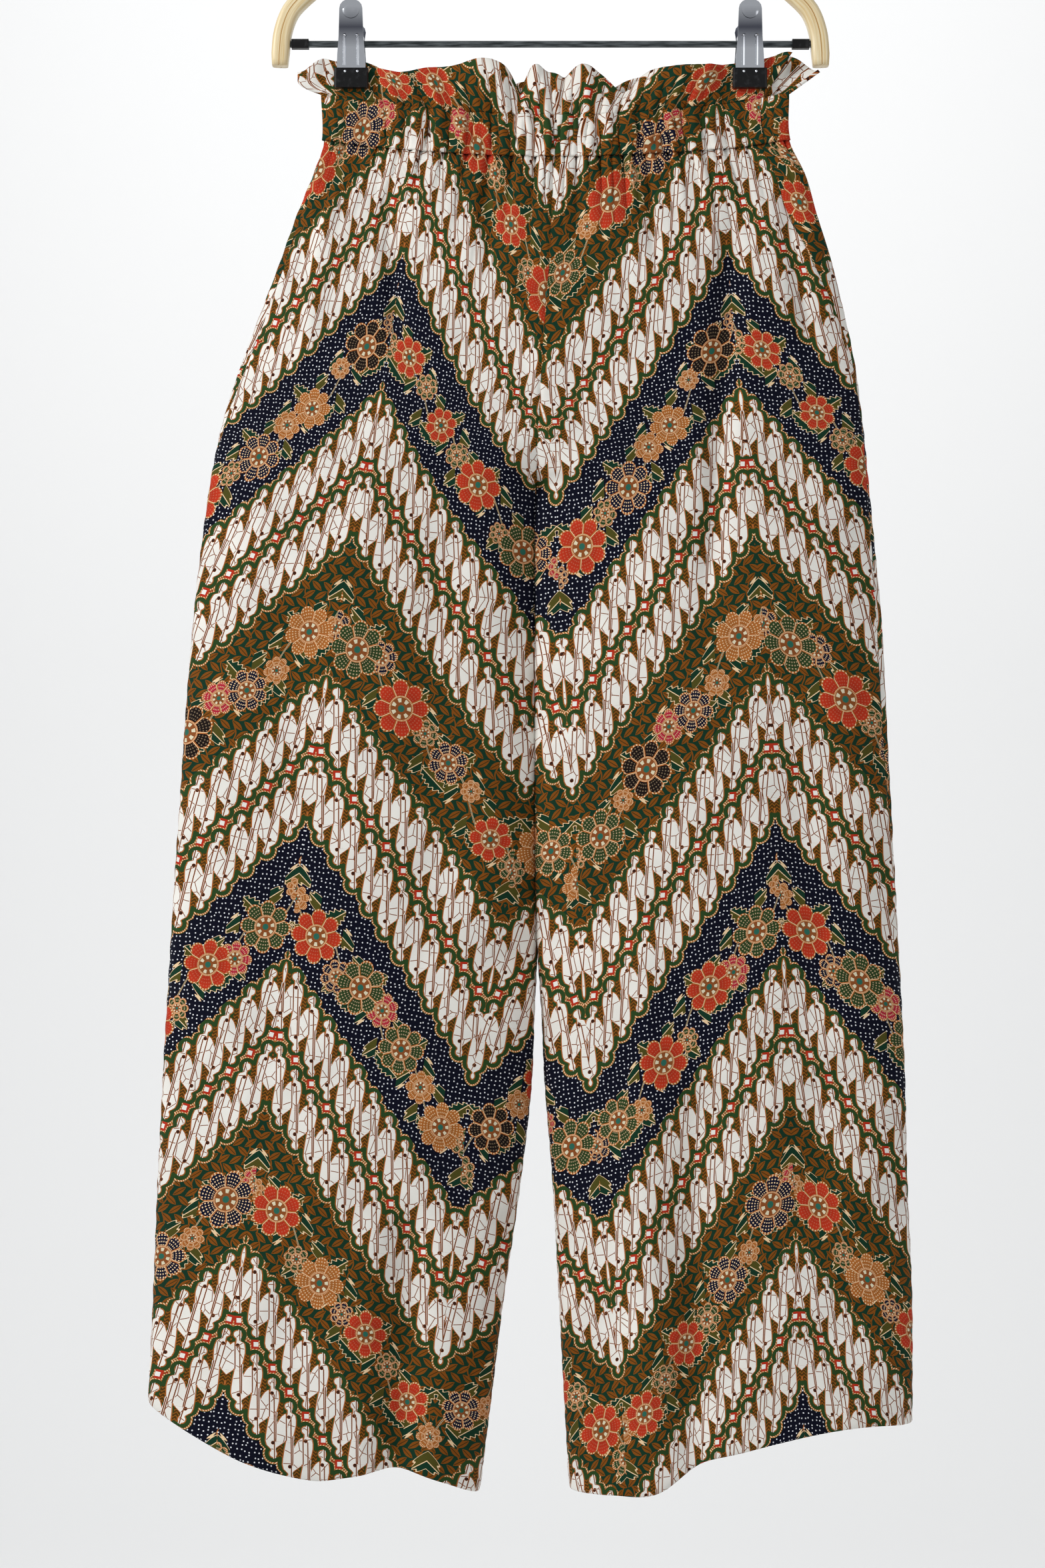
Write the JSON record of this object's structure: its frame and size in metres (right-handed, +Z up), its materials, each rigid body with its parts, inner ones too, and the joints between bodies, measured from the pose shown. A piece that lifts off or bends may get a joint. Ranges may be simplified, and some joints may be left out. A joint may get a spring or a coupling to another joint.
{
  "type": "lounge pants on a clip hanger",
  "caption": "Wide-leg lounge pants of chevron batik cloth with a gathered waist casing and paper-bag frill, hung flat from the two clips of a pale wooden hanger",
  "frame": {"origin": "point under the top of the hook's round that bears on a rail", "axes": "+Z up, the front of the garment faces -Y, +X to the right in the front view, which is the wearer's left"},
  "size_m": [0.5327, 0.091, 1.1796],
  "materials": {
    "batik_cloth": "matt printed cotton",
    "pale_wood": "clear satin lacquer",
    "bright_metal": "polished",
    "bar_steel": "satin",
    "black_rubber": "semi-matt"
  },
  "bodies": {
    "root": {"right_leg_front": "batik_cloth", "left_leg_front": "batik_cloth", "right_leg_back": "batik_cloth", "left_leg_back": "batik_cloth", "waist_casing_front": "batik_cloth", "waist_casing_back": "batik_cloth", "waist_frill_front": "batik_cloth", "waist_frill_back": "batik_cloth", "hanger_bow": "pale_wood", "hanger_hook": "bright_metal", "hanger_bar": "bar_steel", "right_bar_sleeve": "black_rubber", "left_bar_sleeve": "black_rubber", "right_clip_front_plate": "bright_metal", "right_clip_back_plate": "bright_metal", "right_clip_spring": "bar_steel", "right_clip_front_jaw": "black_rubber", "right_clip_back_jaw": "black_rubber", "left_clip_front_plate": "bright_metal", "left_clip_back_plate": "bright_metal", "left_clip_spring": "bar_steel", "left_clip_front_jaw": "black_rubber", "left_clip_back_jaw": "black_rubber"}
  },
  "joints": []
}
